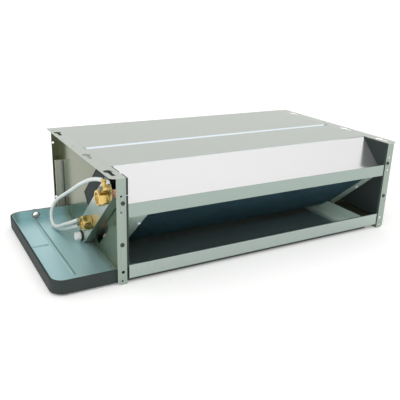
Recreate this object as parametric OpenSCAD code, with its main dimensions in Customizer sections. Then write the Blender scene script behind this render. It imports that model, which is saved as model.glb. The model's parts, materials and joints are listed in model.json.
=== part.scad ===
// Ceiling fan coil unit: folded steel casing, slanted water coil, drain pan with a side extension,
// twin forward-curved blowers on one motor shaft, and a filter that slides out of the left side.
// Working axes: x from the left side panel to the right one, y from the air outlet to the rear, z up.

/* [Casing] */
// Width between the outer faces of the side panels
body_w = 740; // [700:10:900]
// Depth from the outlet plane to the rear plane
body_d = 486; // [480:2:560]
// Height of the side panels
body_h = 240; // [236:1:270]
// Thickness of the folded sheet
sheet_t = 1.2; // [0.8:0.1:1.6]
// Width of the upright flanges at the front and the rear
post_w = 20; // [18:1:24]
// Width of the hanging flanges along the top
hang_w = 32; // [30:1:40]
// Thickness of the foam inside the side panels
lining_t = 5; // [4:0.5:7]
// Height of the lower edge of the foam
lining_z = 37; // [36:1:42]

/* [Hanging holes] */
// Distance of the keyholes outside the side panel
key_x = 17; // [14:0.5:18]
// Radius of the round end of a keyhole
key_r = 10; // [8:0.5:11]
// Width of the narrow end of a keyhole
key_slot_w = 9; // [7:0.5:11]
// Length from the round end's centre to the end of the narrow part
key_slot_len = 34; // [26:1:36]
// Depth of the front keyhole's round end
key_front_y = 52; // [46:1:60]
// Depth of the middle keyhole's round end
key_mid_y = 190; // [150:1:220]
// Distance of the rear keyhole's round end from the rear plane
key_rear_inset = 58; // [30:1:80]

/* [Outlet] */
// Height of the lower edge of the bottom lip
low_lip_z = 12; // [11:0.5:14]
// Height of the bottom lip's face
low_lip_h = 31; // [26:1:34]
// Distance of the upper lip's lower edge below the top
top_lip_drop = 88; // [84:1:92]
// Height of the top lip's face
top_lip_h = 30; // [24:1:34]
// Height of the sloped sheet above the coil's rear edge
deflector_gap = 7.1; // [6:0.1:9]

/* [Top panels] */
// Depth of the rear edge of the front top panel
lap_y = 238; // [230:1:244]
// Depth of the gutter where the top panels overlap
lap_drop = 5; // [4:0.5:6]
// Length of the overlap
lap_len = 22; // [18:1:26]

/* [Drain pan] */
// Reach of the pan outside the left panel
pan_reach = 158; // [140:1:180]
// Depth of the pan's front face
pan_y0 = 5; // [4:0.5:8]
// Distance of the trough's rear face from the fan deck
trough_gap = 15; // [4:1:25]
// Distance of the extension's rear face from the rear plane
pan_rear_inset = 54; // [52:1:76]
// Gap between the pan's right end and the right panel
pan_right_gap = 40; // [30:1:60]
// Height of the pan's underside
pan_z0 = 5; // [5:0.5:6]
// Height of the pan's rim
pan_rim_z = 35; // [30:0.5:35]
// Thickness of the foam outside the pan
pan_foam_t = 5; // [4:0.5:6]
// Thickness of the pan's steel
pan_t = 1; // [0.8:0.1:1.2]
// Corner radius of the extension
pan_corner_r = 30; // [15:1:40]
// Radius of the drain spout
spout_r = 10; // [8:0.5:10]
// Wall of the drain spout
spout_wall = 1.5; // [1:0.1:2.5]
// Length of the spout behind the pan
spout_len = 12; // [8:1:13]
// Distance of the spout outside the left panel
spout_x = 88; // [50:1:110]

/* [Coil] */
// Depth of the coil's front edge
coil_front_y = 14.4; // [13:0.2:16]
// Distance of the coil's front edge below the top
coil_drop = 87.2; // [86:0.2:89]
// Height of the coil's lowest edge
coil_foot_z = 17.9; // [17.5:0.1:19]
// Distance between neighbouring tubes
tube_pitch = 25.4; // [24:0.2:25.6]
// Outside radius of a tube
tube_r = 4.8; // [4:0.1:5]
// Wall of a tube
tube_wall = 0.6; // [0.4:0.1:1]
// Tubes in each row
tubes_per_row = 8; // [8:1:8]
// Inset of the fins from the left panel
fin_left_inset = 25; // [24:1:30]
// Inset of the fins from the right panel
fin_right_inset = 32; // [30:1:60]
// Number of fins drawn
fin_count = 36; // [16:1:60]
// Thickness of a fin
fin_t = 0.5; // [0.3:0.1:1]
// Width of the end plates' flanges past the fins
plate_margin = 4; // [3:0.5:6]
// Width of the left end plate's flange over the fins
left_flange_w = 39; // [30:1:60]
// Thickness of the end plates
plate_t = 1.5; // [1:0.1:2]

/* [Water connections] */
// Reach of the coil end cover outside the left panel
cover_reach = 24; // [23:1:26]
// Lower edge of the cover, across the coil from its middle
cover_n0 = -8; // [-9:0.5:-7]
// Width of the cover across the coil
cover_w = 54; // [52:1:56]
// Size across the flats of the union nuts
union_flats = 33; // [31:0.5:36]
// Length of a union nut
union_len = 21; // [18:1:26]
// Radius of the threaded bore in a union
union_bore_r = 12; // [10:0.5:13]
// Depth of the threaded bore
union_bore_len = 16; // [10:1:17]
// Radius of a header pipe
header_r = 9; // [8:0.5:9]
// Place of the upper union along the coil
upper_s = 1; // [0:0.5:3]
// Place of the lower union along the coil
lower_s = 150; // [146:1:156]
// Place of the unions across the coil
union_n = 10; // [9:0.5:11]
// Outside diameter of the vent hoses
hose_d = 9; // [7:0.5:9.5]

/* [Fan] */
// Depth of the fan section, from the deck's front face to the rear plane
fan_bay = 209; // [208:1:218]
// Distance of the shaft behind the fan deck
shaft_back = 88; // [86:0.5:90]
// Height of the shaft
shaft_z = 118; // [114:1:122]
// Radius of the shaft
shaft_r = 5; // [4:0.5:6]
// Distance from the unit's middle to the middle of a blower
blower_x = 200; // [190:1:220]
// Width of a blower housing
blower_w = 160; // [140:2:170]
// Outer radius of an impeller
impeller_r = 54; // [48:1:55]
// Depth of the impeller's blades
blade_depth = 11; // [8:0.5:14]
// Number of blades
blade_count = 28; // [16:2:36]
// Radius of the scroll at the tongue
scroll_r0 = 60; // [58:0.5:62]
// Radius of the scroll where it leaves for the outlet
scroll_r1 = 84; // [80:1:90]
// Radius of the motor
motor_r = 46; // [40:1:48]
// Length of the motor
motor_len = 110; // [90:2:130]

/* [Filter] */
// Distance of the filter's rear face from the rear plane
filter_inset = 30; // [28:1:36]
// Thickness of the filter frame
filter_t = 10; // [8:0.5:11]
// Height of the filter's lower edge
filter_z = 14; // [12:0.5:16]
// Height of the filter
filter_h = 140; // [120:1:142]
// Width of the filter frame's bars
filter_bar = 12; // [9:0.5:15]

/* [Hidden] */
$fn = 48;

// Colours of the real materials
galvanised = [0.72, 0.76, 0.73];
black_foam = [0.13, 0.15, 0.15];
pan_steel = [0.60, 0.70, 0.71];
fin_blue = [0.13, 0.20, 0.25];
copper = [0.72, 0.45, 0.30];
brass = [0.80, 0.62, 0.25];
clear_hose = [0.80, 0.84, 0.83, 0.7];
dark_plastic = [0.20, 0.21, 0.22];

// Small clearances
touch = 0.2;
seat = 0.3;
running = 0.05;
slip = 0.5;
cut = 1;

// Casing insides
inner_x0 = sheet_t + lining_t;
inner_x1 = body_w - sheet_t - lining_t;
top_under = body_h - sheet_t;
corner_r = hang_w - post_w;
post_foot_r = 10;
post_hole_x = 9.5;
post_hole_r = 2.2;
post_hole_z = [9, 165.5, 200.5];
post_port_r = 3.5;
post_port = [7.5, 29.5];
screw_r = 2;
screw_head_r = 4.6;
screw_head_h = 2.4;
screw_len = 7;
post_screw_xz = [[6, 185], [8.5, 93]];
rear_hole_x = 16;
rear_hole_r = 3;
rear_hole_z = [44, 200];
rivet_r = 3;
rivet_h = 1.2;
rivet_x = 21;
rivet_lap = 41;
rivet_rear_inset = 29;
rivet_y = [lap_y + rivet_lap, body_d - rivet_rear_inset];
lap_rise = 4;
lap_gap = 9;
hem_len = 16;
dash_w = 3;
dash_len = 19;
dash_inset = 1;
lip_return = 3;
lining_gap = 2;

// Coil frame: s runs down the slope from the upper end, n stands up from the coil's middle plane
row_pitch = tube_pitch * sin(60);
rows = [-row_pitch, 0, row_pitch];
coil_len = tubes_per_row * tube_pitch;
coil_half = 1.5 * row_pitch;
plate_half = coil_half + plate_margin;
coil_tilt = asin((body_h - coil_drop - coil_foot_z) / coil_len);
coil_y = coil_front_y + plate_half * sin(coil_tilt);
coil_z = body_h - coil_drop + plate_half * cos(coil_tilt);
coil_rear_y = coil_y + plate_half * sin(coil_tilt);
coil_rear_drop = body_h - coil_z - plate_half * cos(coil_tilt);
top_lip_z = body_h - top_lip_drop;
deflector_y = (top_lip_drop - 2 * sheet_t) * coil_rear_y / (top_lip_drop + deflector_gap - coil_rear_drop);
fin_x0 = fin_left_inset;
fin_x1 = body_w - fin_right_inset;
left_plate_x = fin_x0 - plate_t;
right_plate_x = fin_x1;
plate_flange = body_w - sheet_t - lining_t - seat - right_plate_x;
plate_s0 = -3;
plate_s1 = coil_len + 5;
cover_in_s0 = 10;
cover_n1 = cover_n0 + cover_w;
cover_t = 1;
coil_screw_s = [80, 193];
left_screw_s = 72;
left_screw_inset = 5;
tube_end = 3;
cover_s0 = -40;
cover_s1 = 280;
open_s0 = -60;
open_s1 = 214;
window_gap = 2;
open_n0 = cover_n0 - window_gap;
open_n1 = 113;
foot_hole_s = 110;
foot_hole_n = -28;
open_edge = 14;
open_top = 10;

// Pan levels and the fan deck behind the trough
deck_y = body_d - fan_bay;
trough_y1 = deck_y - trough_gap;
pan_y1 = body_d - pan_rear_inset;
pan_floor_z = pan_z0 + pan_foam_t;
pan_floor_top = pan_floor_z + pan_t;
pan_gap = 1;
panel_foot_z = pan_floor_top + pan_gap;
pan_wall = pan_foam_t + pan_t;
trough_x1 = body_w - pan_right_gap;
neck_x1 = sheet_t + pan_gap + pan_foam_t + pan_t;
spout_z = pan_floor_top + spout_r + pan_gap;
cover_foot_z = panel_foot_z + pan_gap;
cover_top_z = top_under - open_top - seat;
shelf_y0 = 30;
spout_inside = 2;
spout_flange_t = 3;
spout_flange_w = 3;

// Unions and vents, all seen from the left panel's outer face
union_x0 = -(cover_reach + touch + union_len);
union_neck_r = 13;
header_x = -10;
header_gap = 6;
header_over = 6;
header_inset = 2;
header_wall = 1.5;
stub_z = 26.2;
stub_n = 13;
stub_s = (coil_z - stub_z + stub_n * cos(coil_tilt)) / sin(coil_tilt);
stub_r = 10;
stub_len = 16;
stub_wall = 1.5;
stub_seat = 6;
stub_bore_end = 3;
washer_r = 13;
washer_t = 3;
vent_s = -26;
vent_n = 19;
vent_mouth_y = 6;
vent_mouth_h = 14;
vent_r = 7;
vent_len = 15;
vent_riser_r = 4;
vent_riser_h = 15;
vent_collar_len = 7;
vent_edge = 1;
vent_shank = 4;
collar_r = 5;
bleed_r = 2;
bleed_head_r = 4.5;
bleed_head_h = 5;
bleed_stem = 8;
bleed_end_gap = 1;
bleed_slot_w = 1.2;
bleed_slot_h = 1;
cock_len = 12;
cock_inset = 1;
cock_nozzle = 16;
cock_h = 26;
cock_drop = 8;
cock_tilt = 25;
nozzle_upper = [25.5, 1.6];
nozzle_lower = [21.5, -11.4];
hose_straight = 4;

// Where the hoses meet the vent and the two nozzles of the cock
cock_x = -39;
vent_x0 = -cover_reach - vent_len;
riser_x = vent_x0 + vent_riser_r + vent_edge;
vent_mouth = [riser_x, coil_yz(vent_s, vent_n)[0] + vent_mouth_y, coil_yz(vent_s, vent_n)[1] + vent_mouth_h];
cock_upper = [cock_x, cock_yz()[0] + nozzle_upper[0], cock_yz()[1] + nozzle_upper[1]];
cock_lower = [cock_x, cock_yz()[0] + nozzle_lower[0], cock_yz()[1] + nozzle_lower[1]];
nozzle_dir = [0, cos(cock_tilt), -sin(cock_tilt)];

// Hoses: points by hand as x, distance behind the fitting and height, which follow the fitting's height
hose_low_z = 33;
vent_fall = 193;
cock_fall = 49;
drain_low_z = 17;
drain_fall = 52;
fall_points = [
    [-35, 16, 224], [-37, 40, 218], [-39, 64, 210], [-40, 88, 200], [-41, 112, 189], [-42, 137, 177],
    [-42, 162, 164], [-42, 187, 151], [-43, 212, 138], [-46, 237, 124]
];
loop_points = [
    [-51, 98, 110], [-57, 117, 96], [-62, 130, 81], [-67, 135, 65], [-70, 131, 49], [-71, 119, 37],
    [-70, 103, 33], [-66, 86, 37], [-60, 69, 46], [-54, 51, 55], [-48, 33, 64], [-42, 16, 74]
];
drain_points = [
    [-39, 16, 61], [-42, 36, 52], [-46, 56, 43], [-50, 76, 34], [-54, 96, 26], [-58, 116, 20],
    [-61, 136, 17], [-64, 156, 17]
];
vent_route = concat(
    [vent_mouth, vent_mouth + hose_straight * [0, 1, 0]],
    hung(fall_points, vent_mouth, hose_low_z, vent_fall),
    hung(loop_points, cock_upper, hose_low_z, cock_fall),
    [cock_upper + hose_straight * nozzle_dir, cock_upper]
);
drain_route = concat(
    [cock_lower, cock_lower + hose_straight * nozzle_dir],
    hung(drain_points, cock_lower, drain_low_z, drain_fall)
);
hose_sides = 10;

// Fan places
shaft_y = deck_y + sheet_t + shaft_back;
blower_mid = [body_w / 2 - blower_x, body_w / 2 + blower_x];
housing_t = 1;
scroll_a0 = 150;
scroll_a1 = 450;
scroll_step = 10;
inlet_over = 1;
inlet_r = impeller_r - blade_depth + inlet_over;
inlet_lip = 3;
outlet_flange = 10;
impeller_gap = 6;
ring_t = 2;
disc_t = 2;
hub_r = 13;
hub_len = 30;
shaft_end = 18;
blade_t = 0.8;
blade_steps = 4;
blade_sweep = 14;
bearing_r = 11;
bearing_w = 9;
bell_r = 20;
bell_len = 8;
shaft_gap = 1;
cradle_t = 3;
cradle_inset = 18;
cradle_h = 70;
cradle_foot = 22;
strap_t = 1;
strap_w = 14;
strap_ear = 12;
capacitor_r = 15;
capacitor_len = 60;
box_y = 300;
box_z = 110;
box_w = 110;
box_h = 90;
box_deep = 26;
box_knockout_r = 10;
box_lip = 1;

// Filter places
filter_y1 = body_d - filter_inset;
filter_y0 = filter_y1 - filter_t;
filter_x0 = sheet_t;
filter_x1 = inner_x1 - slip;
filter_ribs = 6;
mesh_t = 1;
rail_t = 1;
rail_leg = 7;
rail_back = 5;
slot_front_gap = 2;
slot_back_gap = 4;
slot_end_gap = 3;
rear_sheet_y = filter_y1 + slip + rail_t + rail_back;
slot_y0 = filter_y0 - slot_front_gap;
slot_y1 = filter_y1 + slot_back_gap;
slot_z0 = filter_z - slot_end_gap;
slot_z1 = filter_z + filter_h + slot_end_gap;
tab_hole_r = 2;
tab_hole_h = 30;
return_edge = 18;

// Folded sheet: a polyline of bends and its offset to the left, as one closed outline
function unit(v) = v / norm(v);
function left_of(v) = [-v[1], v[0]];
function bend_offset(p, i, t) =
    let (a = unit(i == 0 ? p[1] - p[0] : p[i] - p[i - 1]))
    let (b = i == len(p) - 1 ? a : unit(p[i + 1] - p[i]))
    p[i] + t * (left_of(a) + left_of(b)) / (1 + left_of(a) * left_of(b));
function reversed(p) = [for (i = [len(p) - 1 : -1 : 0]) p[i]];
module folded(p, t = sheet_t) {
    polygon(concat(p, reversed([for (i = [0 : len(p) - 1]) bend_offset(p, i, t)])));
}

// Extrusions along one axis; the outline is drawn as it looks along that axis
module along_x(x0, x1) {
    translate([x0, 0, 0]) rotate([90, 0, 90]) linear_extrude(x1 - x0) children();
}
module rod_x(x0, x1, r) {
    translate([x0, 0, 0]) rotate([0, 90, 0]) cylinder(r = r, h = x1 - x0);
}
module rod_y(y0, y1, r) {
    translate([0, y0, 0]) rotate([-90, 0, 0]) cylinder(r = r, h = y1 - y0);
}
module block(p, q) {
    translate(p) cube(q - p);
}

// The part's frame: origin under the middle of the whole unit
module place() {
    translate([-(body_w + hang_w - pan_reach) / 2, -(body_d - screw_head_h) / 2, 0]) children();
}
module mirrored_right() {
    translate([body_w, 0, 0]) mirror([1, 0, 0]) children();
}
module coil_frame() {
    translate([0, coil_y, coil_z]) rotate([-coil_tilt, 0, 0]) children();
}
function coil_yz(s, n) = [
    coil_y + s * cos(coil_tilt) + n * sin(coil_tilt),
    coil_z - s * sin(coil_tilt) + n * cos(coil_tilt)
];
function hung(points, at, low, fall) = [for (p = points)
    [p[0], at[1] + p[1], low + (p[2] - low) * (at[2] - low) / fall]];
function cock_yz() = coil_yz(lower_s, union_n) + [union_flats / 2 + touch, -cock_drop];
module at_coil(s, n) {
    translate([0, coil_yz(s, n)[0], coil_yz(s, n)[1]]) children();
}

// Side panels
module keyhole(y) {
    translate([-key_x, y, body_h - sheet_t - cut]) cylinder(r = key_r, h = sheet_t + 2 * cut);
    block([-key_x - key_slot_w / 2, y - key_slot_len, body_h - sheet_t - cut],
          [-key_x + key_slot_w / 2, y, body_h + cut]);
}
module side_tray() {
    difference() {
        union() {
            block([0, 0, 0], [sheet_t, body_d, body_h]);
            block([-hang_w, corner_r, top_under], [sheet_t, body_d, body_h]);
            block([-post_w, 0, top_under], [sheet_t, body_d, body_h]);
            translate([-post_w, corner_r, top_under]) cylinder(r = corner_r, h = sheet_t);
            block([-post_w, 0, post_foot_r], [sheet_t, sheet_t, body_h]);
            block([-post_w + post_foot_r, 0, 0], [sheet_t, sheet_t, body_h]);
            translate([-post_w + post_foot_r, 0, post_foot_r]) rod_y(0, sheet_t, post_foot_r);
            block([-post_w, body_d - sheet_t, 0], [sheet_t, body_d, body_h]);
        }
        for (y = [key_front_y, key_mid_y, body_d - key_rear_inset]) keyhole(y);
        for (z = post_hole_z) translate([-post_hole_x, 0, z]) rod_y(-cut, sheet_t + cut, post_hole_r);
        translate([-post_port[0], 0, post_port[1]]) rod_y(-cut, sheet_t + cut, post_port_r);
        for (p = post_screw_xz) translate([-p[0], 0, p[1]]) rod_y(-cut, sheet_t + cut, screw_r + touch);
        for (z = rear_hole_z)
            translate([-rear_hole_x, 0, z]) rod_y(body_d - sheet_t - cut, body_d + cut, rear_hole_r);
        block([-dash_w - dash_inset, lap_y, top_under - cut], [-dash_inset, lap_y + dash_len, body_h + cut]);
    }
}
module coil_window() {
    intersection() {
        coil_frame() {
            block([-cut, open_s0, open_n0], [sheet_t + cut, open_s1, open_n1]);
            block([-cut, foot_hole_s, foot_hole_n], [sheet_t + cut, open_s1, open_n1]);
        }
        block([-cut, open_edge, 0], [sheet_t + cut, body_d, top_under - open_top]);
    }
}
module left_side_panel() color(galvanised) place() {
    difference() {
        side_tray();
        coil_window();
        block([-cut, slot_y0, slot_z0], [sheet_t + cut, slot_y1, slot_z1]);
        block([-cut, pan_y0 - pan_gap, -cut], [sheet_t + cut, pan_y1 + pan_gap, panel_foot_z]);
        for (y = [pan_y0, pan_y1 - pan_wall])
            block([-cut, y - pan_gap, 0], [sheet_t + cut, y + pan_wall + pan_gap, pan_rim_z + pan_gap]);
    }
    difference() {
        block([-post_w, slot_y1, slot_z0], [sheet_t, slot_y1 + sheet_t, slot_z1]);
        translate([-post_w / 2, 0, slot_z0 + tab_hole_h])
            rod_y(slot_y1 - cut, slot_y1 + sheet_t + cut, tab_hole_r);
    }
}
module right_side_panel() color(galvanised) place() {
    difference() {
        mirrored_right() side_tray();
        translate([0, box_y + box_w / 2, box_z + box_h / 2])
            rod_x(body_w - sheet_t - cut, body_w + cut, box_knockout_r);
    }
}

// Top of the casing
module front_top_panel() color(galvanised) place() {
    along_x(sheet_t, body_w - sheet_t)
        folded([[lap_y + lap_len, body_h - lap_drop], [lap_y + sheet_t, body_h - lap_drop],
                [lap_y, body_h], [deflector_y, body_h]]);
}
module rear_top_panel() color(galvanised) place() {
    along_x(sheet_t, body_w - sheet_t)
        folded([[body_d, body_h - post_w], [body_d, body_h], [lap_y + lap_len - lap_rise, body_h],
                [lap_y + lap_gap, body_h - lap_drop + sheet_t + touch]]);
}
module outlet_deflector() color([0.90, 0.91, 0.90]) place() {
    along_x(inner_x0, inner_x1)
        folded([[0, top_lip_z + top_lip_h], [0, top_lip_z],
                [deflector_y, top_under - sheet_t], [deflector_y + hem_len, top_under - sheet_t]]);
}
module outlet_lower_lip() color(galvanised) place() {
    lip_y = pan_y0 - pan_gap;
    lip_top = low_lip_z + low_lip_h;
    along_x(inner_x0, inner_x1)
        folded([[lip_y, lip_top - lip_return], [lip_y, lip_top], [0, lip_top], [0, low_lip_z],
                [lip_y, low_lip_z]]);
}

// Bottom and rear
module bottom_panel() color(galvanised) place() {
    along_x(sheet_t, body_w - sheet_t)
        folded([[body_d, post_w], [body_d, 0], [trough_y1 + pan_gap, 0],
                [trough_y1 + pan_gap, pan_z0 - sheet_t], [shelf_y0, pan_z0 - sheet_t]], -sheet_t);
}
module rear_panel() color(galvanised) place() {
    difference() {
        block([sheet_t, rear_sheet_y, sheet_t], [body_w - sheet_t, rear_sheet_y + sheet_t, top_under]);
        block([return_edge, rear_sheet_y - cut, filter_z + filter_bar],
              [body_w - return_edge, rear_sheet_y + sheet_t + cut, filter_z + filter_h - filter_bar]);
    }
}

// Foam inside the side panels
module lining_sheet() {
    block([sheet_t, sheet_t, lining_z], [inner_x0, rear_sheet_y, top_under - lap_drop - 2 * sheet_t]);
    block([sheet_t, sheet_t, lining_z], [inner_x0, lap_y - sheet_t, top_under - sheet_t]);
}
module left_lining() color(black_foam) place() {
    difference() {
        lining_sheet();
        coil_frame() {
            block([0, plate_s0 - lining_gap, -plate_half - lining_gap],
                  [inner_x0 + cut, plate_s1 + lining_gap, plate_half + lining_gap]);
            block([0, cover_s0 - lining_gap, cover_n0 - lining_gap],
                  [inner_x0 + cut, plate_s1 + lining_gap, cover_n1 + lining_gap]);
        }
        block([0, slot_y0, 0], [inner_x0 + cut, slot_y1, slot_z1]);
    }
}
module right_lining() color(black_foam) place() {
    mirrored_right() lining_sheet();
}

// Drain pan: a trough under the coil and a wide extension under the water connections
module pan_outline(inset) {
    r = max(pan_corner_r - inset, 1);
    x0 = -pan_reach + inset;
    y0 = pan_y0 + inset;
    y1 = pan_y1 - inset;
    translate([x0 + r, y0]) square([trough_x1 - inset - x0 - r, trough_y1 - inset - y0]);
    translate([x0 + r, y0]) square([neck_x1 - inset - x0 - r, y1 - y0]);
    translate([x0, y0 + r]) square([neck_x1 - inset - x0, y1 - y0 - 2 * r]);
    for (y = [y0 + r, y1 - r]) translate([x0 + r, y]) circle(r);
}
module pan_prism(inset, z0, z1) {
    translate([0, 0, z0]) linear_extrude(z1 - z0) pan_outline(inset);
}
module spout_hole(r) {
    translate([-spout_x, 0, spout_z]) rod_y(pan_y1 - pan_wall - cut, pan_y1 + cut, r);
}
module drain_pan() color(pan_steel) place() {
    difference() {
        pan_prism(pan_foam_t, pan_floor_z, pan_rim_z);
        pan_prism(pan_wall, pan_floor_top, pan_rim_z + cut);
        spout_hole(spout_r + touch);
    }
}
module pan_insulation() color(black_foam) place() {
    difference() {
        pan_prism(0, pan_z0, pan_rim_z);
        pan_prism(pan_foam_t, pan_floor_z, pan_rim_z + cut);
        spout_hole(spout_r + touch);
    }
}
module drain_spout() color(galvanised) place() {
    translate([-spout_x, 0, spout_z]) difference() {
        union() {
            rod_y(pan_y1 - pan_wall - spout_inside, pan_y1 + spout_len, spout_r);
            rod_y(pan_y1 + touch, pan_y1 + spout_flange_t, spout_r + spout_flange_w);
        }
        rod_y(pan_y1 - pan_wall - spout_inside - cut, pan_y1 + spout_len + cut, spout_r - spout_wall);
    }
}

// Coil
function tube_s(i, row) = tube_pitch * (i + 0.5 + (row == 1 ? 0.25 : -0.25));
module at_tubes() {
    for (row = [0 : 2], i = [0 : tubes_per_row - 1]) translate([0, tube_s(i, row), rows[row]]) children();
}
module tube_plate(x0, x1, s0, s1, n0, n1) {
    difference() {
        block([x0, s0, n0], [x1, s1, n1]);
        at_tubes() rod_x(x0 - cut, x1 + cut, tube_r + running);
    }
}
module coil_fins() color(fin_blue) place() {
    step = (fin_x1 - fin_x0 - fin_t - 2 * touch) / (fin_count - 1);
    coil_frame()
        for (k = [0 : fin_count - 1])
            translate([fin_x0 + touch + k * step, 0, 0])
                tube_plate(0, fin_t, 0, coil_len, -coil_half, coil_half);
}
module coil_tubes() color(copper) place() {
    coil_frame() at_tubes() difference() {
        rod_x(left_plate_x - tube_end, right_plate_x + plate_t + tube_end, tube_r);
        rod_x(left_plate_x - tube_end - cut, right_plate_x + plate_t + tube_end + cut, tube_r - tube_wall);
    }
}
module return_bend(p, q, x, turn) {
    d = q - p;
    translate([x, (p[0] + q[0]) / 2, (p[1] + q[1]) / 2]) rotate([atan2(d[1], d[0]), 0, 0])
        rotate([0, 0, turn]) rotate_extrude(angle = 180) translate([norm(d) / 2, 0]) circle(tube_r);
}
module return_bends() color(copper) place() {
    right_x = right_plate_x + plate_t + tube_end;
    left_x = left_plate_x - tube_end;
    coil_frame() {
        for (i = [0 : tubes_per_row - 1])
            return_bend([tube_s(i, 0), rows[0]], [tube_s(i, 1), rows[1]], right_x, -90);
        for (i = [0 : 2 : tubes_per_row - 2])
            return_bend([tube_s(i, 2), rows[2]], [tube_s(i + 1, 2), rows[2]], right_x, -90);
        for (i = [0 : 2 : tubes_per_row - 2])
            return_bend([tube_s(i, 0), rows[0]], [tube_s(i + 1, 0), rows[0]], left_x, 90);
    }
}
module plate_screw_hole(x, s) {
    translate([x, s, -plate_half - cut]) cylinder(r = screw_r + touch, h = plate_t + 2 * cut);
}
module left_end_plate() color(galvanised) place() {
    x1 = left_plate_x + left_flange_w;
    coil_frame() {
        tube_plate(left_plate_x, fin_x0, plate_s0, plate_s1, -plate_half, plate_half);
        difference() {
            block([inner_x0 + seat, plate_s0, -plate_half], [x1, plate_s1, -plate_half + plate_t]);
            plate_screw_hole(x1 - left_screw_inset, left_screw_s);
        }
    }
}
module right_end_plate() color(galvanised) place() {
    x1 = right_plate_x + plate_flange;
    coil_frame() difference() {
        union() {
            tube_plate(right_plate_x, right_plate_x + plate_t, plate_s0, plate_s1, -plate_half, plate_half);
            block([right_plate_x, plate_s0, -plate_half], [x1, plate_s1, -plate_half + plate_t]);
            block([right_plate_x, plate_s0, plate_half - plate_t], [x1, plate_s1, plate_half]);
        }
        for (s = coil_screw_s) plate_screw_hole((right_plate_x + x1) / 2, s);
    }
}
module cover_channel(x1, s0, s1) {
    coil_frame() difference() {
        block([-cover_reach, s0, cover_n0], [x1, s1, cover_n1]);
        block([-cover_reach + cover_t, s0 - cut, cover_n0 + cover_t],
              [x1 + cut, s1 + cut, cover_n1 - cover_t]);
    }
}
module coil_end_cover() color(galvanised) place() {
    x1 = left_plate_x - touch;
    difference() {
        intersection() {
            union() {
                cover_channel(-touch, cover_s0, cover_s1);
                cover_channel(x1, cover_in_s0, plate_s1);
            }
            block([-cover_reach, open_edge + touch, cover_foot_z], [x1, body_d, cover_top_z]);
        }
        for (s = [upper_s, lower_s]) at_coil(s, union_n) rod_x(-cover_reach - cut, 0, union_neck_r + seat);
        at_coil(vent_s, vent_n) rod_x(-cover_reach - cut, 0, vent_r + seat);
        at_coil(stub_s, stub_n) rod_x(-cover_reach - cut, 0, stub_r + seat);
    }
}

// Headers and their brass unions
module header(s0, s1, at) {
    color(copper) place() difference() {
        union() {
            coil_frame() translate([header_x, 0, union_n]) rod_y(s0, s1, header_r);
            at_coil(at, union_n) rod_x(-cover_reach + cover_t, header_x, header_r);
            coil_frame() for (row = [1, 2], i = [0 : tubes_per_row - 1])
                if (tube_s(i, row) > s0 + tube_r && tube_s(i, row) < s1 - tube_r)
                    translate([0, tube_s(i, row), rows[row]])
                        rod_x(header_x, left_plate_x - tube_end - touch, tube_r);
        }
        at_coil(at, union_n) rod_x(-cover_reach - cut, header_x, header_r - header_wall);
    }
}
module upper_header() { header(-header_over, coil_len / 2 - header_gap, upper_s); }
module lower_header() { header(coil_len / 2, coil_len - header_inset, lower_s); }
module union_nut(s) {
    at_coil(s, union_n) difference() {
        union() {
            translate([union_x0, 0, 0]) rotate([0, 90, 0])
                cylinder(r = union_flats / sqrt(3), h = union_len, $fn = 6);
            rod_x(union_x0, -cover_reach + cover_t - touch, union_neck_r);
        }
        rod_x(union_x0 - cut, union_x0 + union_bore_len, union_bore_r);
        rod_x(union_x0, 0, header_r - header_wall);
    }
}
module upper_union() color(brass) place() union_nut(upper_s);
module lower_union() color(brass) place() union_nut(lower_s);

// Air vent above the upper union, drain cock behind the lower one, each with its bleed screw
module air_vent() color(brass) place() {
    at_coil(vent_s, vent_n) difference() {
        union() {
            rod_x(vent_x0, -cover_reach + cover_t + vent_shank, vent_r);
            translate([riser_x, 0, 0]) cylinder(r = vent_riser_r, h = vent_riser_h);
        }
        rod_x(vent_x0 - cut, vent_x0 + bleed_stem + bleed_end_gap, bleed_r + running);
    }
    translate(vent_mouth) rod_y(-vent_collar_len - seat, -seat, collar_r);
}
module bleed_screw() {
    difference() {
        union() {
            rod_x(-bleed_head_h - touch, -touch, bleed_head_r);
            rod_x(-touch - cut, bleed_stem, bleed_r);
        }
        block([-bleed_head_h - cut, -bleed_head_r, -bleed_slot_w / 2],
              [-bleed_head_h + bleed_slot_h, bleed_head_r, bleed_slot_w / 2]);
    }
}
module vent_screw() color(galvanised) place() {
    at_coil(vent_s, vent_n) translate([vent_x0, 0, 0]) bleed_screw();
}
cock_x0 = union_x0 + cock_inset;
module cock_frame() {
    translate([0, cock_yz()[0], cock_yz()[1]]) children();
}
module drain_cock() color(brass) place() {
    x1 = -cover_reach - touch;
    difference() {
        union() {
            cock_frame() block([cock_x0, 0, -cock_h / 2], [x1, cock_len, cock_h / 2]);
            for (p = [cock_upper, cock_lower])
                translate(p) rotate([-cock_tilt, 0, 0]) rod_y(-cock_nozzle, -seat, collar_r);
        }
        cock_frame() translate([0, cock_len / 2, 0])
            rod_x(cock_x0 - cut, cock_x0 + bleed_stem + bleed_end_gap, bleed_r + running);
    }
}
module drain_screw() color(galvanised) place() {
    cock_frame() translate([cock_x0, cock_len / 2, 0]) bleed_screw();
}

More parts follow.
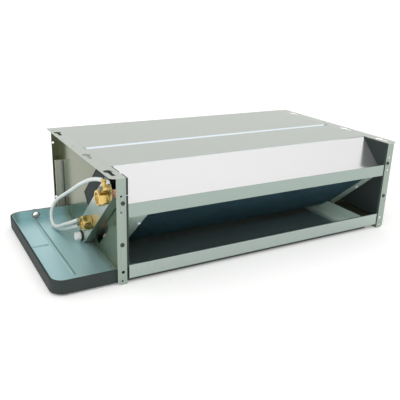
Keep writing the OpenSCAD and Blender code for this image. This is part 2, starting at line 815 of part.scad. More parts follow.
// A hose is one tube of rings set square to its route
function route_dir(p, i) = unit(p[min(i + 1, len(p) - 1)] - p[max(i - 1, 0)]);
function side_dir(v) = unit(cross(v, abs(v[2]) > 0.9 ? [1, 0, 0] : [0, 0, 1]));
module hose(p) {
    n = hose_sides;
    points = [for (i = [0 : len(p) - 1], k = [0 : n - 1])
        let (v = route_dir(p, i), a = side_dir(v), b = cross(a, v), w = 360 * k / n)
        p[i] + hose_d / 2 * (a * cos(w) + b * sin(w))];
    sides = [for (i = [0 : len(p) - 2], k = [0 : n - 1])
        [i * n + k, i * n + (k + 1) % n, (i + 1) * n + (k + 1) % n, (i + 1) * n + k]];
    first = [for (k = [n - 1 : -1 : 0]) k];
    last = [for (k = [0 : n - 1]) (len(p) - 1) * n + k];
    polyhedron(points, concat([first], sides, [last]));
}
module vent_hose() color(clear_hose) place() hose(vent_route);
module drain_hose() color(clear_hose) place() hose(drain_route);

// Stub pipe at the foot of the cover
module stub_pipe() color(galvanised) place() {
    at_coil(stub_s, stub_n) difference() {
        rod_x(-cover_reach - stub_len, -cover_reach + stub_seat, stub_r);
        rod_x(-cover_reach - stub_len - cut, -cover_reach + stub_bore_end, stub_r - stub_wall);
    }
}
module stub_washer() color(black_foam) place() {
    at_coil(stub_s, stub_n) difference() {
        rod_x(-cover_reach - touch - washer_t, -cover_reach - touch, washer_r);
        rod_x(-cover_reach - 2 * washer_t, 0, stub_r + touch);
    }
}

// Fan section
scroll_top = shaft_z + scroll_r1;
tongue = [shaft_y + scroll_r0 * cos(scroll_a0), shaft_z + scroll_r0 * sin(scroll_a0)];
deck_back = deck_y + sheet_t;
function scroll_r(a, inset) =
    scroll_r0 + (scroll_r1 - scroll_r0) * (a - scroll_a0) / (scroll_a1 - scroll_a0) - inset;
module scroll_outline(inset) {
    spiral = [for (a = [scroll_a0 : scroll_step : scroll_a1])
        [shaft_y + scroll_r(a, inset) * cos(a), shaft_z + scroll_r(a, inset) * sin(a)]];
    polygon(concat(spiral, [[deck_back - inset, scroll_top - inset], [deck_back - inset, tongue[1] + inset],
                            [tongue[0] + inset, tongue[1] + inset]]));
}
module blower_housing(x) {
    x0 = x - blower_w / 2;
    x1 = x + blower_w / 2;
    difference() {
        union() {
            along_x(x0, x1) scroll_outline(0);
            block([x0 - outlet_flange, deck_back, tongue[1] - outlet_flange],
                  [x1 + outlet_flange, deck_back + housing_t, scroll_top + outlet_flange]);
        }
        along_x(x0 + housing_t, x1 - housing_t) scroll_outline(housing_t);
        translate([0, shaft_y, shaft_z]) rod_x(x0 - cut, x1 + cut, inlet_r);
    }
    for (side = [-1, 1]) translate([x + side * (blower_w / 2), shaft_y, shaft_z]) difference() {
        rod_x(-inlet_lip, inlet_lip, inlet_r + housing_t);
        rod_x(-inlet_lip - cut, inlet_lip + cut, inlet_r);
    }
}
module left_blower_housing() color(galvanised) place() blower_housing(blower_mid[0]);
module right_blower_housing() color(galvanised) place() blower_housing(blower_mid[1]);
module fan_deck() color(galvanised) place() {
    difference() {
        block([inner_x0 + touch, deck_y, sheet_t + touch],
              [inner_x1 - touch, deck_back, body_h - lap_drop - 2 * sheet_t]);
        block([0, deck_y - cut, 0], [neck_x1 + pan_gap, deck_back + cut, pan_rim_z + pan_gap]);
        for (x = blower_mid)
            block([x - blower_w / 2 + housing_t, deck_y - cut, tongue[1] + housing_t],
                  [x + blower_w / 2 - housing_t, deck_back + cut, scroll_top - housing_t]);
    }
}

// A forward-curved blade is an arc that starts along the radius and ends along the motion
blade_inner_r = impeller_r - blade_depth;
blade_edge = 0.4;
disc_share = 0.36;
function blade_r(u) = blade_inner_r + blade_edge + (blade_depth - 2 * blade_edge) * u;
function blade_point(u, side) =
    let (r = blade_r(u))
    let (a = blade_sweep * u * u + side * blade_t / (2 * r) * 180 / PI)
    [r * cos(a), r * sin(a)];
module blade() {
    edge = [for (k = [0 : blade_steps]) k / blade_steps];
    polygon(concat([for (u = edge) blade_point(u, -1)], reversed([for (u = edge) blade_point(u, 1)])));
}
module impeller(x) {
    half = blower_w / 2 - impeller_gap;
    translate([x, shaft_y, shaft_z]) {
        along_x(-half, half) for (k = [0 : blade_count - 1]) rotate((k + 0.5) * 360 / blade_count) blade();
        for (side = [-1, 1]) difference() {
            rod_x(side * half - ring_t / 2, side * half + ring_t / 2, impeller_r);
            rod_x(side * half - ring_t, side * half + ring_t, blade_inner_r);
        }
        difference() {
            union() {
                rod_x(-disc_t / 2, disc_t / 2, blade_r(disc_share));
                rod_x(-hub_len / 2, hub_len / 2, hub_r);
            }
            rod_x(-hub_len, hub_len, shaft_r + running / 2);
        }
    }
}
module left_impeller() color(dark_plastic) place() impeller(blower_mid[0]);
module right_impeller() color(dark_plastic) place() impeller(blower_mid[1]);
module fan_shaft() color(galvanised) place() {
    translate([0, shaft_y, shaft_z])
        rod_x(blower_mid[0] - hub_len / 2 - shaft_end, blower_mid[1] + hub_len / 2 + shaft_end, shaft_r);
}
module fan_motor() color([0.35, 0.37, 0.38]) place() {
    x0 = body_w / 2 - motor_len / 2;
    x1 = body_w / 2 + motor_len / 2;
    translate([0, shaft_y, shaft_z]) difference() {
        union() {
            rod_x(x0, x1, motor_r);
            rod_x(x0 - bell_len, x1 + bell_len, bell_r);
        }
        rod_x(x0 - bell_len - cut, x1 + bell_len + cut, shaft_r + shaft_gap);
        for (x = [x0 - bell_len, x1 + bell_len - bearing_w])
            rod_x(x - cut, x + bearing_w + cut, bearing_r + touch);
    }
}
module motor_bearings() color(galvanised) place() {
    for (x = [body_w / 2 - motor_len / 2 - bell_len, body_w / 2 + motor_len / 2 + bell_len - bearing_w])
        translate([0, shaft_y, shaft_z]) difference() {
            rod_x(x, x + bearing_w, bearing_r);
            rod_x(x - cut, x + bearing_w + cut, shaft_r + running);
        }
}
cradle_x = [body_w / 2 - motor_len / 2 + cradle_inset, body_w / 2 + motor_len / 2 - cradle_inset];
module motor_cradle() color(galvanised) place() {
    difference() {
        for (x = cradle_x) {
            block([x - cradle_t / 2, deck_back, shaft_z - cradle_h],
                  [x + cradle_t / 2, shaft_y, shaft_z + cradle_h]);
            block([x - cradle_foot, deck_back, shaft_z - cradle_h],
                  [x + cradle_foot, deck_back + cradle_t, shaft_z + cradle_h]);
        }
        translate([0, shaft_y, shaft_z]) rod_x(0, body_w, motor_r + touch);
    }
}
module motor_straps() color(galvanised) place() {
    r = motor_r + touch;
    for (x = cradle_x) translate([x, shaft_y, shaft_z]) difference() {
        union() {
            rod_x(-strap_w / 2, strap_w / 2, r + strap_t);
            block([-strap_w / 2, touch, -r - strap_ear], [strap_w / 2, touch + strap_t, r + strap_ear]);
        }
        rod_x(-strap_w, strap_w, r);
        block([-strap_w, -2 * r, -2 * r], [strap_w, touch, 2 * r]);
    }
}
module capacitor() color([0.85, 0.86, 0.85]) place() {
    x = body_w / 2;
    translate([x - capacitor_len / 2, deck_back + capacitor_r + touch, shaft_z - cradle_h - capacitor_r])
        rod_x(0, capacitor_len, capacitor_r);
}

// Terminal box on the right panel, inside the reach of its flanges
module terminal_box() color(galvanised) place() {
    p = [body_w, box_y, box_z];
    difference() {
        block(p, p + [box_deep, box_w, box_h]);
        block(p + [sheet_t, sheet_t, sheet_t], p + [box_deep + cut, box_w - sheet_t, box_h - sheet_t]);
        translate([0, box_y + box_w / 2, box_z + box_h / 2])
            rod_x(body_w - cut, body_w + sheet_t + cut, box_knockout_r);
        translate([body_w + box_deep / 2, box_y + box_w / 2, box_z - cut])
            cylinder(r = box_knockout_r, h = sheet_t + 2 * cut);
    }
}
module terminal_box_cover() color(galvanised) place() {
    block([body_w + box_deep, box_y - box_lip, box_z - box_lip],
          [body_w + box_deep + sheet_t, box_y + box_w + box_lip, box_z + box_h + box_lip]);
}

// Filter and its rails
module filter_frame() color(dark_plastic) place() {
    step = (filter_x1 - filter_x0 - filter_bar) / filter_ribs;
    z1 = filter_z + filter_h;
    difference() {
        block([filter_x0, filter_y0, filter_z], [filter_x1, filter_y1, z1]);
        for (k = [0 : filter_ribs - 1])
            block([filter_x0 + filter_bar + k * step, filter_y0 - cut, filter_z + filter_bar],
                  [filter_x0 + (k + 1) * step, filter_y1 + cut, z1 - filter_bar]);
    }
}
module filter_mesh() color([0.35, 0.38, 0.38]) place() {
    step = (filter_x1 - filter_x0 - filter_bar) / filter_ribs;
    y = (filter_y0 + filter_y1) / 2;
    for (k = [0 : filter_ribs - 1])
        block([filter_x0 + filter_bar + k * step, y - mesh_t / 2, filter_z + filter_bar],
              [filter_x0 + (k + 1) * step, y + mesh_t / 2, filter_z + filter_h - filter_bar]);
}
module filter_rail(z, up) {
    y0 = filter_y0 - slip - rail_t;
    y1 = filter_y1 + slip + rail_t;
    x0 = inner_x0 + touch;
    x1 = inner_x1 - touch;
    leg0 = up ? z : z - rail_leg;
    leg1 = up ? z + rail_leg : z;
    base0 = up ? z - rail_t : z;
    block([x0, y0, base0], [x1, rear_sheet_y, base0 + rail_t]);
    for (y = [y0, y1 - rail_t]) block([x0, y, leg0], [x1, y + rail_t, leg1]);
}
module upper_filter_rail() color(galvanised) place() filter_rail(filter_z + filter_h + slip, false);
module lower_filter_rail() color(galvanised) place() filter_rail(filter_z - slip, true);

// Fasteners
module pan_head(stem = screw_len) {
    rod_y(-screw_head_h, 0, screw_head_r);
    rod_y(-cut, stem, screw_r);
}
module coil_screw(x, s) {
    translate([x, s, -plate_half]) rotate([90, 0, 0]) pan_head(plate_margin - seat);
}
module post_screws() color(galvanised) place() {
    for (p = post_screw_xz) {
        translate([-p[0], 0, p[1]]) pan_head();
        mirrored_right() translate([-p[0], 0, p[1]]) pan_head();
    }
}
module coil_screws() color(galvanised) place() {
    coil_frame() {
        for (s = coil_screw_s) coil_screw(right_plate_x + plate_flange / 2, s);
        coil_screw(left_plate_x + left_flange_w - left_screw_inset, left_screw_s);
    }
}
module flange_rivets() color(galvanised) place() {
    for (y = rivet_y) {
        translate([-rivet_x, y, body_h]) cylinder(r = rivet_r, h = rivet_h);
        mirrored_right() translate([-rivet_x, y, body_h]) cylinder(r = rivet_r, h = rivet_h);
    }
}

left_side_panel();
right_side_panel();
front_top_panel();
rear_top_panel();
outlet_deflector();
outlet_lower_lip();
bottom_panel();
rear_panel();
left_lining();
right_lining();
drain_pan();
pan_insulation();
drain_spout();
coil_fins();
coil_tubes();
return_bends();
left_end_plate();
right_end_plate();
coil_end_cover();
upper_header();
lower_header();
upper_union();
lower_union();
air_vent();
drain_cock();
vent_screw();
drain_screw();
vent_hose();
drain_hose();
stub_pipe();
stub_washer();
fan_deck();
left_blower_housing();
right_blower_housing();
left_impeller();
right_impeller();
fan_shaft();
fan_motor();
motor_bearings();
motor_cradle();
motor_straps();
capacitor();
terminal_box();
terminal_box_cover();
filter_frame();
filter_mesh();
upper_filter_rail();
lower_filter_rail();
post_screws();
coil_screws();
flange_rivets();
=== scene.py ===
"""Looks of a slim ceiling fan coil unit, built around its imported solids."""

import json
import math

import bmesh
import bpy
from mathutils import Matrix, Quaternion, Vector


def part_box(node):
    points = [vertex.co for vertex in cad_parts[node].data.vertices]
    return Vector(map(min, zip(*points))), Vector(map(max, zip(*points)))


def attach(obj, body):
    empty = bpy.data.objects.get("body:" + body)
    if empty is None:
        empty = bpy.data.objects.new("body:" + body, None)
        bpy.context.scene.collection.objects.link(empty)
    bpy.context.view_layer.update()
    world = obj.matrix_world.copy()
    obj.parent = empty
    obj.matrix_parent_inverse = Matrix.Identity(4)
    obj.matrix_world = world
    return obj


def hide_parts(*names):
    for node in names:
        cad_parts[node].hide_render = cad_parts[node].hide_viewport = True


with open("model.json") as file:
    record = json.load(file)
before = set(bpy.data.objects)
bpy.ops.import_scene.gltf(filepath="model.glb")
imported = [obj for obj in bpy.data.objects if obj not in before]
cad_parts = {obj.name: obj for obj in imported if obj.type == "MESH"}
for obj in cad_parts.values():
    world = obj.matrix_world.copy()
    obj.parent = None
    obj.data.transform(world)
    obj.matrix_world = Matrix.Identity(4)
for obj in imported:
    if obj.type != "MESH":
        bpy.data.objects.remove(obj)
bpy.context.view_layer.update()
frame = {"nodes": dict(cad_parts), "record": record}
nodes = frame["nodes"]
scene = bpy.context.scene
scene.view_settings.view_transform = "Standard"

# Places are in millimetres from the casing's lower left corner in the plane of the outlet
MM = 0.001
SHEET = 1.2
CORNER = Vector((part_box("left_lining")[0].x - SHEET * MM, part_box("left_side_panel")[0].y, 0))
BODY_WIDTH = 740
BODY_HEIGHT = 240


def at(x, y, z):
    """The point in the part's frame, in metres."""
    return CORNER + Vector((x, y, z)) * MM


# Camera, fitted to the straight edges of the casing
CAMERA_AT = Vector((-0.7015, -1.233, 0.5791))
CAMERA_AZIMUTH = math.radians(-29.83)
CAMERA_ELEVATION = math.radians(19.88)
CAMERA_ROLL = math.radians(1.94)
LENS_MM = 49.88


def make_camera():
    """The main view: the camera looks along its azimuth and elevation, and is rolled about that line."""
    data = bpy.data.cameras.new("camera")
    data.lens = LENS_MM
    camera = bpy.data.objects.new("camera", data)
    back = Vector((math.sin(CAMERA_AZIMUTH) * math.cos(CAMERA_ELEVATION),
                   -math.cos(CAMERA_AZIMUTH) * math.cos(CAMERA_ELEVATION),
                   math.sin(CAMERA_ELEVATION)))
    level = (-back).to_track_quat("-Z", "Y")
    camera.location = CAMERA_AT
    camera.rotation_mode = "QUATERNION"
    camera.rotation_quaternion = Quaternion(back, CAMERA_ROLL) @ level
    scene.collection.objects.link(camera)
    scene.camera = camera


# Materials
class Finish:
    """A material with a Principled shader, and short ways to add detail to it."""

    # Sockets of the mix node, which has a set of them for each kind of data
    COLOUR_ENDS = (6, 7)
    COLOUR_RESULT = 2
    VALUE_ENDS = (2, 3)
    VALUE_RESULT = 0

    def __init__(self, name, inputs=None):
        self.material = bpy.data.materials.new(name)
        self.material.use_nodes = True
        self.tree = self.material.node_tree
        self.shader = self.tree.nodes["Principled BSDF"]
        for socket, value in (inputs or {}).items():
            self.feed(self.shader.inputs[socket], value)
        self.place = self.node("ShaderNodeTexCoord").outputs["Object"]

    def node(self, kind, inputs=None, **settings):
        """A new node with its settings made and its inputs fed."""
        made = self.tree.nodes.new(kind)
        for name, value in settings.items():
            setattr(made, name, value)
        for name, value in (inputs or {}).items():
            self.feed(made.inputs[name], value)
        return made

    def feed(self, socket, value):
        """Links a node's output to the socket, or sets the socket's own value."""
        if isinstance(value, bpy.types.NodeSocket):
            self.tree.links.new(value, socket)
        else:
            socket.default_value = value

    def noise(self, scale, detail, stretch=(1, 1, 1)):
        """A value about 0.5 that varies over the surface; scale is in cells per metre."""
        place = self.node("ShaderNodeMapping", {"Vector": self.place, "Scale": stretch}).outputs["Vector"]
        made = self.node("ShaderNodeTexNoise", {"Vector": place, "Scale": scale, "Detail": detail})
        return made.outputs["Fac"]

    def cells(self, scale):
        """One random value from 0 to 1 for each crystal of the zinc."""
        colour = self.node("ShaderNodeTexVoronoi", {"Vector": self.place, "Scale": scale}).outputs["Color"]
        return self.node("ShaderNodeSeparateColor", {"Color": colour}).outputs["Red"]

    def span(self, value, low, high, start=0.0, end=1.0):
        """value from start to end becomes low to high."""
        made = self.node("ShaderNodeMapRange", {"Value": value, "From Min": start, "From Max": end,
                                                "To Min": low, "To Max": high})
        return made.outputs["Result"]

    def mixed(self, value, low, high):
        """A colour that goes from low to high with value."""
        mix = self.node("ShaderNodeMix", {"Factor": value}, data_type="RGBA")
        for index, end in zip(self.COLOUR_ENDS, (low, high)):
            self.feed(mix.inputs[index], end if isinstance(end, bpy.types.NodeSocket) else (*end, 1))
        return mix.outputs[self.COLOUR_RESULT]

    def mottled(self, value, colour, dark, light):
        """The colour times a factor that goes from dark to light with value."""
        return self.mixed(value, shade(colour, dark), shade(colour, light))

    def blend(self, first, second, share=0.5):
        """A mean of two values, with the second one's share."""
        mix = self.node("ShaderNodeMix", {"Factor": share}, data_type="FLOAT")
        for index, end in zip(self.VALUE_ENDS, (first, second)):
            self.feed(mix.inputs[index], end)
        return mix.outputs[self.VALUE_RESULT]

    def inside(self, limits, fade):
        """1 where each named coordinate of the object lies between its two limits, 0 elsewhere."""
        split = self.node("ShaderNodeSeparateXYZ", {"Vector": self.place})
        inside = 1.0
        for axis, (low, high) in limits.items():
            rising = self.span(split.outputs[axis], 0, 1, low - fade, low)
            falling = self.span(split.outputs[axis], 1, 0, high, high + fade)
            for edge in (rising, falling):
                least = self.node("ShaderNodeMath", {0: inside, 1: edge}, operation="MINIMUM")
                inside = least.outputs["Value"]
        return inside

    def colour(self, value):
        """Feeds the shader's colour."""
        self.feed(self.shader.inputs["Base Color"], value)

    def metallic(self, value):
        """Feeds the shader's share of metal."""
        self.feed(self.shader.inputs["Metallic"], value)

    def roughness(self, value):
        """Feeds the shader's roughness."""
        self.feed(self.shader.inputs["Roughness"], value)

    def bump(self, height, strength, distance):
        """Fine relief from a value; distance is in metres."""
        made = self.node("ShaderNodeBump", {"Height": height, "Strength": strength, "Distance": distance})
        self.feed(self.shader.inputs["Normal"], made.outputs["Normal"])


def shade(colour, factor):
    """The colour made darker or lighter, up to 1."""
    return tuple(min(c * factor, 1) for c in colour)


# Where most values of a noise lie: a plain one, one with fine marks in it, one with crystals in it
NOISE_SPAN = (0.3, 0.7)
MARKS_SPAN = (0.35, 0.65)
CRYSTAL_SPAN = (0.25, 0.75)
ZONE_FADE = 0.3 * MM


def zinc(name, colour, smooth, rough, contrast=0.03, metallic=1.0, light_and_shade_zones=()):
    """Galvanised sheet with faint crystals and rolling streaks; its roughness goes from smooth to rough.

    Each zone of painted light or shade is a set of limits on the object's coordinates and the colour painted
    inside them.
    """
    finish = Finish(name, {"Metallic": metallic})
    crystals = finish.cells(scale=120)
    streaks = finish.noise(scale=9, detail=4, stretch=(0.25, 1, 1))
    tone = finish.blend(crystals, streaks, share=0.7)
    surface = finish.mottled(tone, colour, 1 - contrast, 1 + contrast)
    for limits, painted_colour in light_and_shade_zones:
        surface = finish.mixed(finish.inside(limits, ZONE_FADE), surface, painted_colour)
    finish.colour(surface)
    wear = finish.blend(streaks, crystals, share=0.2)
    finish.roughness(finish.span(wear, smooth, rough, *CRYSTAL_SPAN))
    return finish.material


def foam(name, colour):
    """Closed-cell rubber foam: pitted, dull, a little uneven."""
    finish = Finish(name)
    pits = finish.noise(scale=900, detail=4)
    patches = finish.noise(scale=18, detail=3)
    finish.colour(finish.mottled(patches, colour, 0.75, 1.35))
    finish.roughness(finish.span(pits, 0.6, 0.95, *NOISE_SPAN))
    finish.bump(pits, strength=0.5, distance=0.6 * MM)
    return finish.material


def coated_fin(name, colour):
    """Blue hydrophilic coating on aluminium fins."""
    finish = Finish(name, {"Metallic": 0.7})
    patches = finish.noise(scale=30, detail=3)
    finish.colour(finish.mottled(patches, colour, 0.8, 1.25))
    finish.roughness(finish.span(patches, 0.32, 0.5, *NOISE_SPAN))
    return finish.material


def turned_metal(name, colour, smooth, rough):
    """Brass or copper with handling marks and a faint tarnish."""
    finish = Finish(name, {"Metallic": 1.0})
    tarnish = finish.noise(scale=120, detail=5)
    marks = finish.noise(scale=900, detail=2, stretch=(0.2, 1, 1))
    finish.colour(finish.mottled(tarnish, colour, 0.75, 1.15))
    finish.roughness(finish.span(finish.blend(tarnish, marks), smooth, rough, *MARKS_SPAN))
    finish.bump(marks, strength=0.08, distance=0.2 * MM)
    return finish.material


def clear_plastic(name, colour):
    """Translucent soft hose."""
    finish = Finish(name, {"Transmission Weight": 0.2, "IOR": 1.45})
    haze = finish.noise(scale=25, detail=2)
    finish.colour(finish.mottled(haze, colour, 0.97, 1.03))
    finish.roughness(finish.span(haze, 0.28, 0.36, *NOISE_SPAN))
    return finish.material


def moulded(name, colour, rough):
    """Moulded plastic or paint with a fine texture."""
    finish = Finish(name)
    texture = finish.noise(scale=1500, detail=2)
    patches = finish.noise(scale=25, detail=2)
    finish.colour(finish.mottled(patches, colour, 0.88, 1.12))
    finish.roughness(finish.span(texture, rough - 0.08, rough + 0.08, *NOISE_SPAN))
    finish.bump(texture, strength=0.15, distance=0.2 * MM)
    return finish.material


# Parts of the drain pan: the trough under the coil, and the fold at its far end, where a paler patch is
# painted as a reflection of the end plate
TROUGH_FADE = 20 * MM
FOLD_WIDTH = 75
FOLD_FADE = 35 * MM
OPEN_METALLIC = 0.6
TROUGH_METALLIC = 0.86
FOLD_METALLIC = 0.15


def pan_metal(name, colour, trough, fold_reflection_colour):
    """Pan steel with faint water marks: satin in the open, polished under the coil, with a paler painted
    reflection at the far fold.
    """
    finish = Finish(name)
    far_end = CORNER.x + BODY_WIDTH * MM
    under_coil = finish.inside({"X": (CORNER.x, far_end)}, TROUGH_FADE)
    far_fold = finish.inside({"X": (far_end - FOLD_WIDTH * MM, far_end)}, FOLD_FADE)
    clouds = finish.noise(scale=9, detail=4)
    wipes = finish.noise(scale=40, detail=3, stretch=(1, 0.15, 1))
    tone = finish.mottled(clouds, colour, 0.92, 1.06)
    # The far fold's paler colour is a painted reflection of the right end plate
    finish.colour(finish.mixed(far_fold, finish.mixed(under_coil, tone, trough), fold_reflection_colour))
    shine = finish.span(under_coil, OPEN_METALLIC, TROUGH_METALLIC)
    finish.metallic(finish.blend(shine, FOLD_METALLIC, far_fold))
    satin = finish.span(finish.blend(clouds, wipes), 0.30, 0.42, *NOISE_SPAN)
    polish = finish.span(clouds, 0.14, 0.24, *NOISE_SPAN)
    finish.roughness(finish.blend(satin, polish, under_coil))
    finish.bump(clouds, strength=0.03, distance=2 * MM)
    return finish.material


# Zones of painted light and shade: the skin of a folded sheet's front or top, a painted highlight along the
# seam between the top sheets, and a painted reflection of the filter's tab on the left side panel
SKIN_OUT = 1 * MM
SKIN_IN = 1.4 * MM
SEAM_BOTTOM = 6
SEAM_TOP = 0.6
# How far the cream painted reflection of the filter's tab reaches, and its margins
TAB_REFLECTION_REACH = 60 * MM
TAB_REFLECTION_NEAR = 3.8 * MM
TAB_REFLECTION_FAR = 5.4 * MM
TAB_REFLECTION_MARGIN = 3 * MM
FILTER_LOW, FILTER_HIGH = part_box("filter_frame")
FRONT_SKIN = {"Y": (CORNER.y - SKIN_OUT, CORNER.y + SKIN_IN)}
TOP_SKIN = {"Z": (BODY_HEIGHT * MM - SKIN_IN, BODY_HEIGHT * MM + SKIN_OUT)}
SEAM_HIGHLIGHT = {"Z": ((BODY_HEIGHT - SEAM_BOTTOM) * MM, (BODY_HEIGHT - SEAM_TOP) * MM)}
# A cream painted reflection of the filter's tab, on the left side panel beside its slot
TAB_REFLECTION = {"X": (CORNER.x - TAB_REFLECTION_REACH, CORNER.x + TAB_REFLECTION_REACH),
       "Y": (FILTER_HIGH.y + TAB_REFLECTION_NEAR, FILTER_HIGH.y + TAB_REFLECTION_FAR),
       "Z": (FILTER_LOW.z - TAB_REFLECTION_MARGIN, FILTER_HIGH.z + TAB_REFLECTION_MARGIN)}
ZINC_COLOUR = (0.56, 0.60, 0.55)
# A bluish-white painted highlight along the seam between the top sheets
TOP_HIGHLIGHT_ZONES = [(SEAM_HIGHLIGHT, (0.84, 0.93, 1.0))]
# The deflector's front face painted darker than its slope, as painted shade
DEFLECTOR_SHADE_ZONES = [(FRONT_SKIN, (0.34, 0.41, 0.375))]
# The side panels' front flange and top edge painted lighter than their end face as painted light, and the
# tab's painted reflection
SIDE_LIGHT_AND_SHADE_ZONES = [(TAB_REFLECTION, (1.0, 0.98, 0.88)), (FRONT_SKIN, (0.325, 0.39, 0.34)), (TOP_SKIN, (0.50, 0.54, 0.485))]
FINISHES = {
    "galvanised": zinc("galvanised", ZINC_COLOUR, 0.26, 0.36),
    "top_sheet": zinc("top_sheet", ZINC_COLOUR, 0.26, 0.36, light_and_shade_zones=TOP_HIGHLIGHT_ZONES),
    "bright_sheet": zinc("bright_sheet", (0.86, 0.87, 0.87), 0.16, 0.24),
    "deflector_sheet": zinc("deflector_sheet", (0.82, 0.82, 0.82), 0.16, 0.20, contrast=0.02, metallic=0.88,
                            light_and_shade_zones=DEFLECTOR_SHADE_ZONES),
    "lip_sheet": zinc("lip_sheet", (0.42, 0.49, 0.455), 0.26, 0.36),
    # The side panels' end faces painted dark as shade; their zones paint the front flange and top edge
    # lighter
    "side_sheet": zinc("side_sheet", (0.165, 0.187, 0.112), 0.16, 0.24, metallic=0.75, light_and_shade_zones=SIDE_LIGHT_AND_SHADE_ZONES),
    "satin_zinc": zinc("satin_zinc", (0.72, 0.75, 0.71), 0.3, 0.4, metallic=0.5),
    "plate_sheet": zinc("plate_sheet", (0.52, 0.66, 0.58), 0.3, 0.45, metallic=0.25),
    "screw_dark": zinc("screw_dark", (0.07, 0.08, 0.075), 0.3, 0.4, metallic=0.8),
    # Near-white, almost unmetallic zinc: a painted glint on the coil screws and a painted highlight on the
    # stub pipe
    "glint_white_zinc": zinc("glint_white_zinc", (0.97, 0.97, 0.94), 0.2, 0.3, metallic=0.05),
    "dull_zinc": zinc("dull_zinc", (0.20, 0.23, 0.21), 0.4, 0.5, metallic=0.5),
    "pan_steel": pan_metal("pan_steel", (0.485, 0.725, 0.75), trough=(0.52, 0.66, 0.62),
                           fold_reflection_colour=(0.66, 0.80, 0.72)),
    # The pan's beads painted darker than the pan, as the shade along the creases
    "crease_shade": zinc("crease_shade", (0.34, 0.53, 0.54), 0.3, 0.42, metallic=0.6),
    "black_foam": foam("black_foam", (0.022, 0.033, 0.031)),
    "fin_blue": coated_fin("fin_blue", (0.16, 0.31, 0.38)),
    "copper": turned_metal("copper", (0.72, 0.40, 0.26), 0.22, 0.40),
    "brass": turned_metal("brass", (0.77, 0.55, 0.19), 0.16, 0.32),
    "clear_hose": clear_plastic("clear_hose", (0.80, 0.86, 0.84)),
    "dark_plastic": moulded("dark_plastic", (0.035, 0.038, 0.040), 0.5),
    "motor_paint": moulded("motor_paint", (0.11, 0.12, 0.125), 0.4),
    "capacitor_case": moulded("capacitor_case", (0.70, 0.71, 0.70), 0.35),
    "mesh": moulded("mesh", (0.05, 0.055, 0.055), 0.6),
}
NODE_FINISHES = {
    "left_side_panel": "side_sheet", "right_side_panel": "side_sheet",
    "front_top_panel": "top_sheet", "rear_top_panel": "top_sheet",
    "outlet_deflector": "deflector_sheet", "outlet_lower_lip": "lip_sheet",
    "left_end_plate": "plate_sheet", "right_end_plate": "plate_sheet",
    # The stub pipe's near-white finish is a painted highlight
    "bottom_panel": "satin_zinc", "drain_spout": "dull_zinc", "stub_pipe": "glint_white_zinc",
    "vent_screw": "dull_zinc", "drain_screw": "dull_zinc",
}


def finish_nodes():
    """Every solid takes the finish of its slot in the record, or its own one."""
    for part in frame["record"]["subparts"]:
        finish = NODE_FINISHES.get(part["node"], part["material_slot"])
        for slot in nodes[part["node"]].material_slots:
            slot.material = FINISHES[finish]


# Pieces
SMOOTH_ANGLE = math.radians(35)


def show(name, data, slot, body="casing", replaced=None, finish=None):
    """A new piece that rides on a body and may stand for a solid.

    Its finish is its slot's own unless another is named.
    """
    piece = bpy.data.objects.new(name, data)
    scene.collection.objects.link(piece)
    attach(piece, body)
    if replaced:
        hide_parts(replaced)
    data.materials.append(FINISHES[finish or slot])
    return piece


def mesh_from(name, shape, smooth=False):
    """The shape as a mesh, with smooth shading between faces that meet at a small angle if asked."""
    data = bpy.data.meshes.new(name)
    shape.to_mesh(data)
    shape.free()
    if smooth:
        data.shade_smooth()
        data.set_sharp_from_angle(angle=SMOOTH_ANGLE)
    return data


def join_rings(shape, rings):
    """Faces between closed rings of vertices, each as long as the last, and over both ends."""
    for ring, following in zip(rings, rings[1:]):
        for k in range(len(ring)):
            n = (k + 1) % len(ring)
            shape.faces.new((ring[k], ring[n], following[n], following[k]))
    shape.faces.new(reversed(rings[0]))
    shape.faces.new(rings[-1])


def lathe(shape, profile, matrix, segments):
    """Adds a solid of revolution about the matrix's Z axis; profile is (radius, height) pairs."""
    turns = [2 * math.pi * k / segments for k in range(segments)]
    rings = []
    for radius, height in profile:
        places = [Vector((radius * math.cos(a), radius * math.sin(a), height)) for a in turns]
        rings.append([shape.verts.new(matrix @ place) for place in places])
    join_rings(shape, rings)
    return rings


def facing(place, direction):
    """A frame at place whose Z axis points along direction."""
    return Matrix.Translation(place) @ Vector(direction).to_track_quat("Z", "Y").to_matrix().to_4x4()


# Hoses: the same routes as the solids
HOSE_DIAMETER = 9 * MM
HOSE_WALL = 1.4 * MM
HOSE_ROUNDNESS = 6
HOSE_STEPS = 8
VENT_ROUTE = [
    (-34, 38, 226), (-34, 42, 226), (-35, 54, 224), (-37, 78, 218), (-39, 102, 210), (-40, 126, 200),
    (-41, 150, 189), (-42, 175, 177), (-42, 200, 164), (-42, 225, 151), (-43, 250, 138), (-46, 275, 124),
    (-51, 298, 110), (-57, 317, 96), (-62, 330, 81), (-67, 335, 65), (-70, 331, 49), (-71, 319, 37),
    (-70, 303, 33), (-66, 286, 37), (-60, 269, 46), (-54, 251, 55), (-48, 233, 64), (-42, 216, 74),
    (-39, 204, 80), (-39, 200, 82),
]
DRAIN_ROUTE = [
    (-39, 196, 69), (-39, 200, 67), (-39, 212, 61), (-42, 232, 52), (-46, 252, 43), (-50, 272, 34),
    (-54, 292, 26), (-58, 312, 20), (-61, 332, 17), (-64, 352, 17),
]


